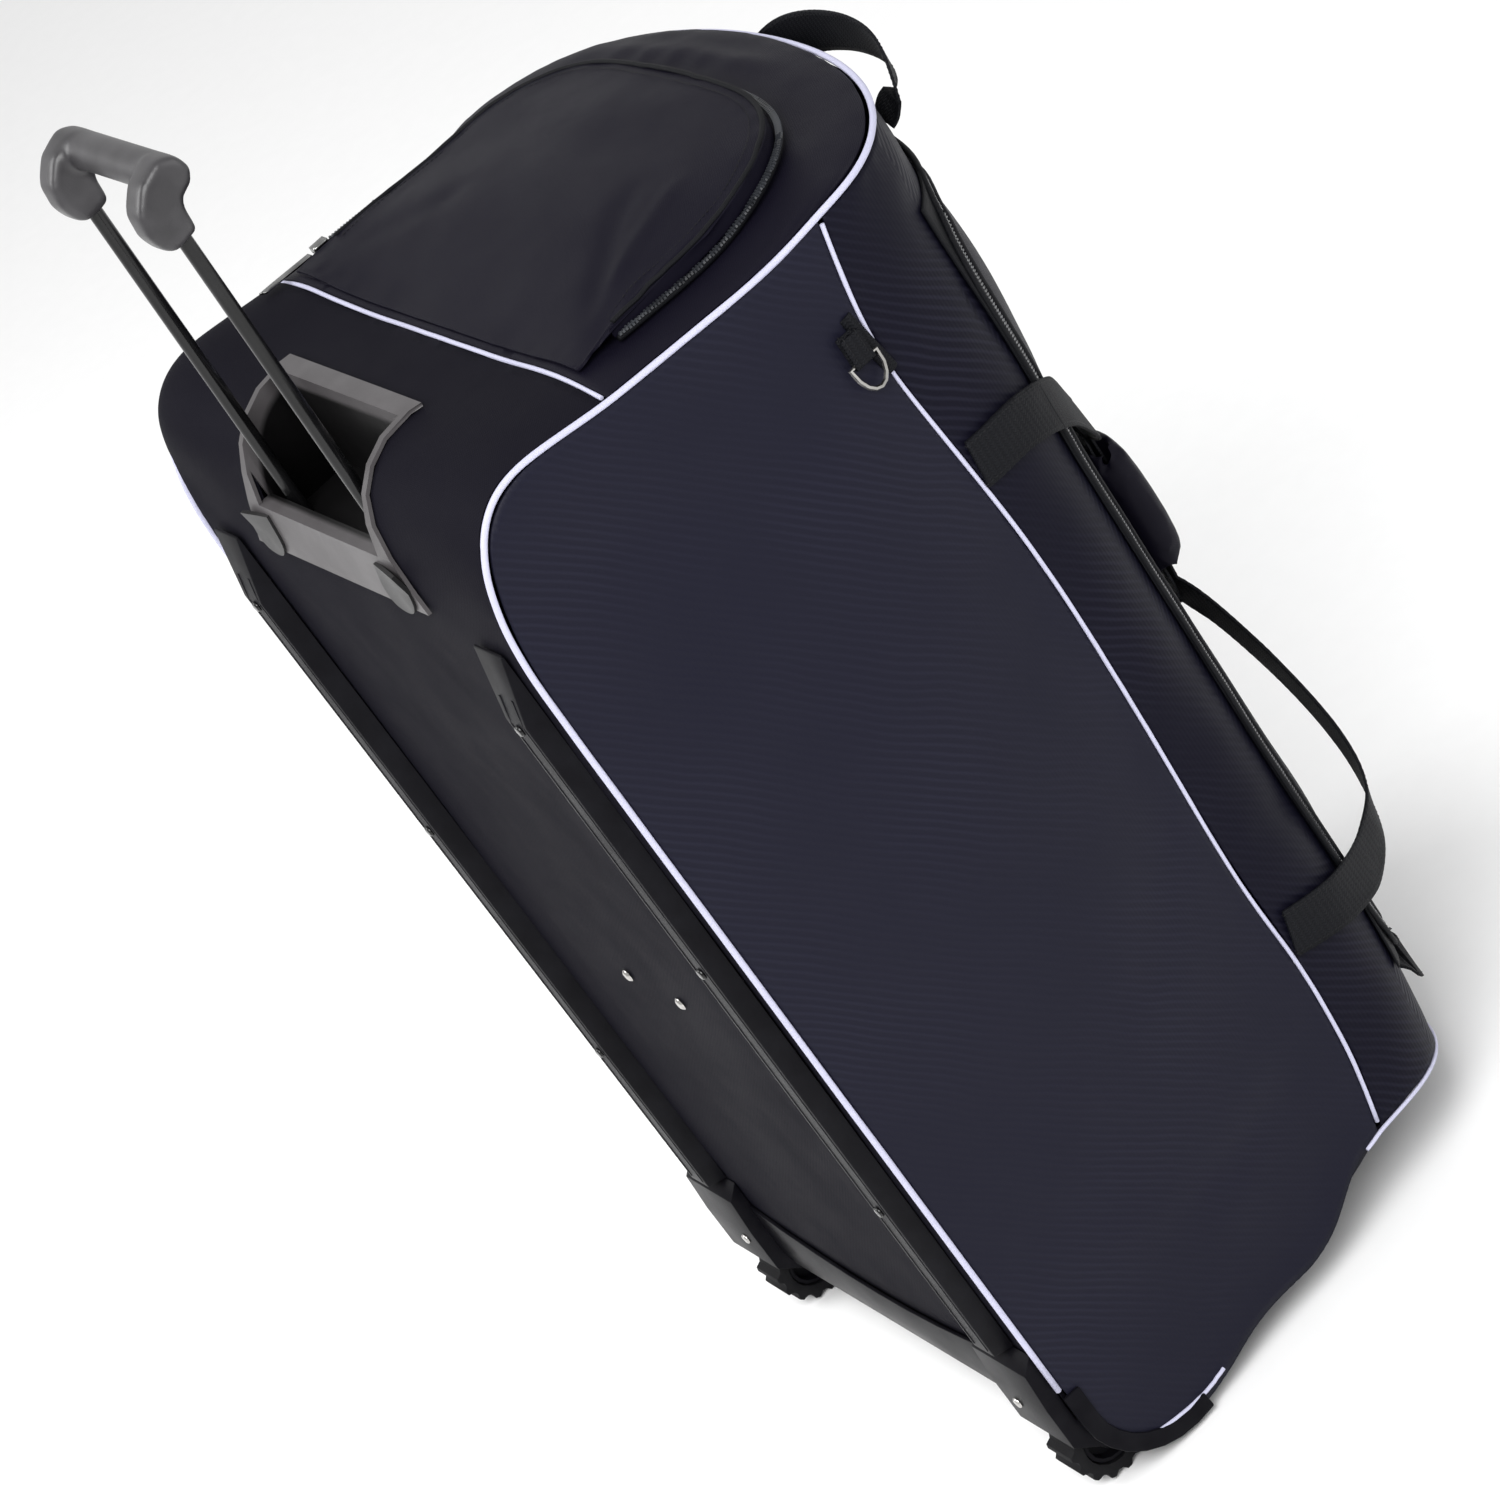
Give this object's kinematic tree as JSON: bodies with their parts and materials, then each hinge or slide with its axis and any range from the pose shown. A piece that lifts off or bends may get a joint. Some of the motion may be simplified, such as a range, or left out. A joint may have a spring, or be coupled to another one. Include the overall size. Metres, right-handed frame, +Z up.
{
  "type": "wheeled goalie bag",
  "caption": "Tall soft bag on wheels for goalkeeping kit: domed zip lid, end pocket, piped seams, carry straps, back rails and a pull-out trolley handle.",
  "frame": {"origin": "on the floor, under the middle of the bag's bounding box", "axes": "+Z up along the bag's length, +Y out of the back with the rails, -Y out of the lid, X across the bag"},
  "size_m": [0.585, 0.5306, 1.193],
  "materials": {
    "panel_cloth": "ribbed polyester",
    "base_cloth": "coated polyester",
    "piping": "smooth covered cord",
    "webbing": "woven webbing",
    "zip": "coil zip on tape",
    "moulding": "satin moulded plastic",
    "rail": "matt black plastic",
    "rod": "gloss black",
    "nickel": "nickel plate",
    "tyre": "rubber"
  },
  "bodies": {
    "bag": {"side_panel_near": "panel_cloth", "side_panel_far": "panel_cloth", "back_panel": "base_cloth", "top_end_panel": "base_cloth", "bottom_end_panel": "base_cloth", "lid_surround": "base_cloth", "lid_flap": "base_cloth", "lid_zip": "zip", "end_pocket": "base_cloth", "pocket_zip": "zip", "pocket_slider": "rod", "pocket_pull": "zip", "thick_piping": "piping", "thin_piping_near": "piping", "thin_piping_far": "piping", "end_seam_piping": "piping", "bottom_piping": "piping", "heel_plate": "moulding", "wheel_housing_near": "moulding", "axle_near": "nickel", "corner_guard_near": "moulding", "wheel_housing_far": "moulding", "axle_far": "nickel", "corner_guard_far": "moulding", "rail_near": "rail", "rail_screw_near_1": "rod", "rail_screw_near_2": "rod", "rail_screw_near_3": "rod", "rivet_near": "nickel", "housing_screw_near": "nickel", "rail_far": "rail", "rail_screw_far_1": "rod", "rail_screw_far_2": "rod", "rail_screw_far_3": "rod", "rivet_far": "nickel", "housing_screw_far": "nickel", "trolley_housing": "moulding", "guide_tube_near": "rod", "guide_tube_far": "rod", "carry_strap_near": "webbing", "carry_strap_far": "webbing", "handle_wrap": "base_cloth", "grab_handle_top": "webbing", "grab_handle_bottom": "webbing", "d_ring_near": "nickel", "ring_tab_near": "webbing", "d_ring_far": "nickel", "ring_tab_far": "webbing"},
    "handle": {"rod_near": "rod", "rod_far": "rod", "grip": "moulding"},
    "wheel_near": {"tyre_near": "tyre", "hub_near": "moulding"},
    "wheel_far": {"tyre_far": "tyre", "hub_far": "moulding"}
  },
  "joints": [
    {"name": "handle_slide", "type": "slide", "parent": "bag", "child": "handle", "axis": [0, -0.0314, 0.9995], "range_m": [-0.25, 0]},
    {"name": "wheel_near_spin", "type": "hinge", "parent": "bag", "child": "wheel_near", "pos_m": [-0.214, 0.23147, 0.034], "axis": [1, 0, 0], "continuous": true},
    {"name": "wheel_far_spin", "type": "hinge", "parent": "bag", "child": "wheel_far", "pos_m": [0.214, 0.23147, 0.034], "axis": [1, 0, 0], "continuous": true}
  ]
}
